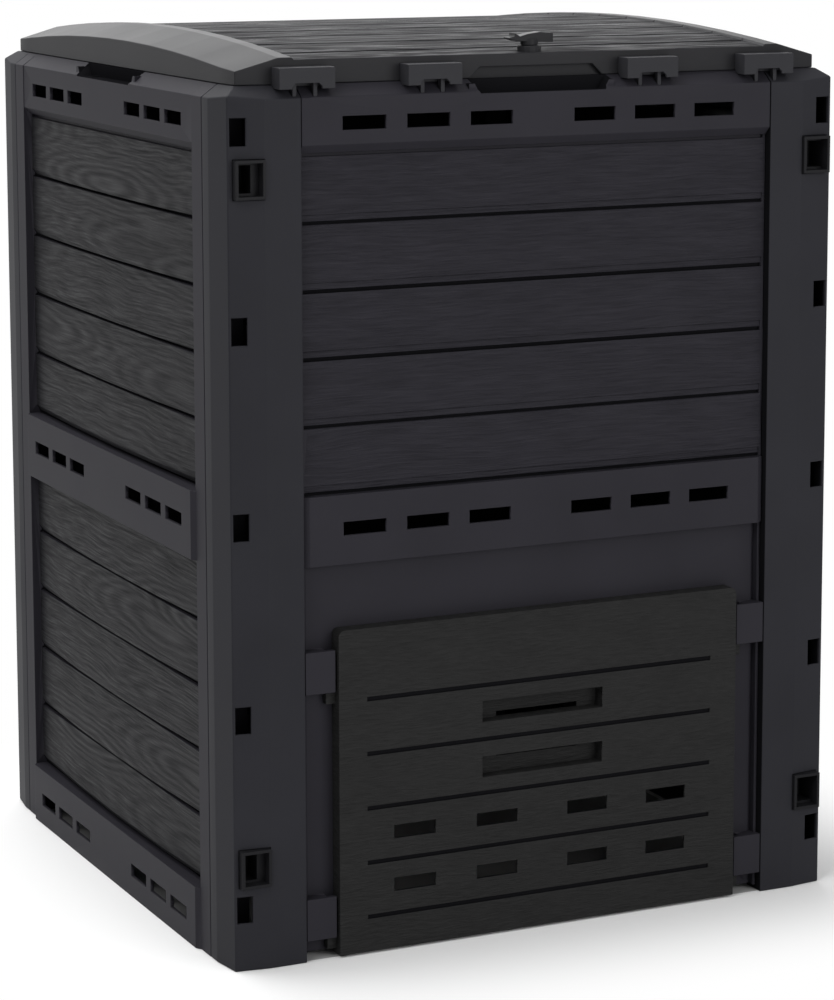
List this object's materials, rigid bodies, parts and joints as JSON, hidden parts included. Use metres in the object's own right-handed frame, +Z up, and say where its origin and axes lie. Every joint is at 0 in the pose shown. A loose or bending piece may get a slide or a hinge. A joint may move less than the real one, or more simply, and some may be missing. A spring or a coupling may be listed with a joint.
{
  "type": "compost bin with lid",
  "caption": "Square garden compost bin of moulded plastic with plank-effect walls, corner posts, air slots, a lift-out door at the foot and a hinged arched lid with a lever latch.",
  "frame": {"origin": "on the ground at the middle of the footprint", "axes": "+X to the right along the front, +Y to the back, +Z up; the front with the door faces -Y"},
  "size_m": [0.617, 0.6172, 0.818],
  "materials": {
    "wall_plastic": "charcoal moulded plastic, boards with a wood grain, bands fine-textured",
    "post_plastic": "charcoal moulded plastic with a fine texture",
    "door_plastic": "charcoal moulded plastic with a wood grain",
    "lid_plastic": "charcoal moulded plastic with a satin sheen, wood grain on the planks",
    "trim_plastic": "smooth black-grey moulded plastic",
    "latch_plastic": "smooth black moulded plastic",
    "zinc_steel": "zinc plated"
  },
  "bodies": {
    "bin": {"front_left_post": "post_plastic", "front_right_post": "post_plastic", "back_right_post": "post_plastic", "back_left_post": "post_plastic", "front_wall": "wall_plastic", "right_wall": "wall_plastic", "back_wall": "wall_plastic", "left_wall": "wall_plastic", "front_left_lower_lock": "trim_plastic", "front_left_upper_lock": "trim_plastic", "front_right_lower_lock": "trim_plastic", "front_right_upper_lock": "trim_plastic", "back_right_lower_lock": "trim_plastic", "back_right_upper_lock": "trim_plastic", "back_left_lower_lock": "trim_plastic", "back_left_upper_lock": "trim_plastic", "front_loop_1": "trim_plastic", "front_loop_2": "trim_plastic", "front_loop_3": "trim_plastic", "front_loop_4": "trim_plastic", "back_loop_1": "trim_plastic", "back_loop_2": "trim_plastic", "back_loop_3": "trim_plastic", "back_loop_4": "trim_plastic"},
    "lid": {"lid": "lid_plastic", "catch_clip_1": "trim_plastic", "catch_clip_2": "trim_plastic", "catch_clip_3": "trim_plastic", "catch_clip_4": "trim_plastic", "hinge_clip_1": "trim_plastic", "hinge_clip_2": "trim_plastic", "hinge_clip_3": "trim_plastic", "hinge_clip_4": "trim_plastic"},
    "latch": {"latch_lever": "latch_plastic", "latch_pawl": "latch_plastic", "latch_screw": "zinc_steel"},
    "door": {"emptying_door": "door_plastic"}
  },
  "joints": [
    {"name": "lid_hinge", "type": "hinge", "parent": "bin", "child": "lid", "pos_m": [0, 0.2993, 0.787], "axis": [-1, 0, 0], "range_deg": [0, 100]},
    {"name": "latch_turn", "type": "hinge", "parent": "lid", "child": "latch", "pos_m": [0, -0.275, 0.806], "axis": [0, 0, 1], "range_deg": [0, 90]},
    {"name": "door_slide", "type": "slide", "parent": "bin", "child": "door", "axis": [0, 0, 1], "range_m": [0, 0.05]}
  ]
}
